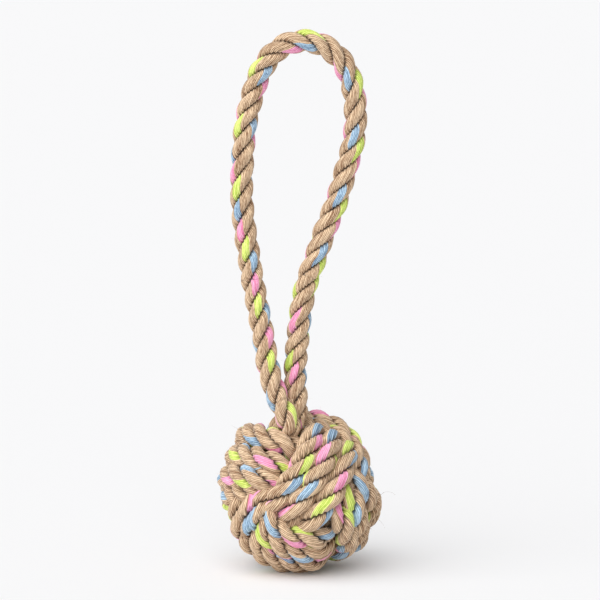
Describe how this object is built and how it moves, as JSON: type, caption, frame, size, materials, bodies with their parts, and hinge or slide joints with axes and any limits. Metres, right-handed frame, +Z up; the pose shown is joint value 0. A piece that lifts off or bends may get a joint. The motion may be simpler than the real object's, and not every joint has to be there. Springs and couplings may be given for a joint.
{
  "type": "rope dog toy",
  "caption": "Dog toy of twisted rope, tied into a round ball knot over a filling, with a tall teardrop hand loop for throwing and tugging.",
  "frame": {"origin": "on the surface that the toy stands on, under the middle of its box", "axes": "+Z up along the hand loop, -Y towards the front, with the loop's broad side facing -Y"},
  "size_m": [0.069, 0.0696, 0.234],
  "materials": {
    "rope": "matte twisted cotton",
    "filling": "matte"
  },
  "bodies": {
    "knot_ball": {"core_ball": "filling", "front_winding": "rope", "side_winding": "rope", "cross_winding": "rope", "left_root": "rope", "right_root": "rope"},
    "neck": {"left_neck": "rope", "right_neck": "rope"},
    "lower_handle": {"left_leg": "rope", "right_leg": "rope", "left_bend": "rope", "right_bend": "rope"},
    "upper_handle": {"bow": "rope"}
  },
  "joints": [
    {"name": "neck_pitch", "type": "hinge", "parent": "knot_ball", "child": "neck", "pos_m": [-0.0026, -0.0124, 0.0678], "axis": [1, 0, 0], "range_deg": [-45, 70], "stiffness_Nm_per_rad": 0.15, "deforming": ["left_root", "right_root"]},
    {"name": "neck_roll", "type": "hinge", "parent": "neck", "child": "lower_handle", "pos_m": [-0.0069, -0.008, 0.0853], "axis": [0, 1, 0], "range_deg": [-35, 35], "stiffness_Nm_per_rad": 0.15, "deforming": ["left_neck", "right_neck"]},
    {"name": "handle_fold", "type": "hinge", "parent": "lower_handle", "child": "upper_handle", "pos_m": [0, -0.002, 0.1418], "axis": [1, 0, 0], "range_deg": [-90, 90], "stiffness_Nm_per_rad": 0.06, "deforming": ["left_bend", "right_bend"]}
  ]
}
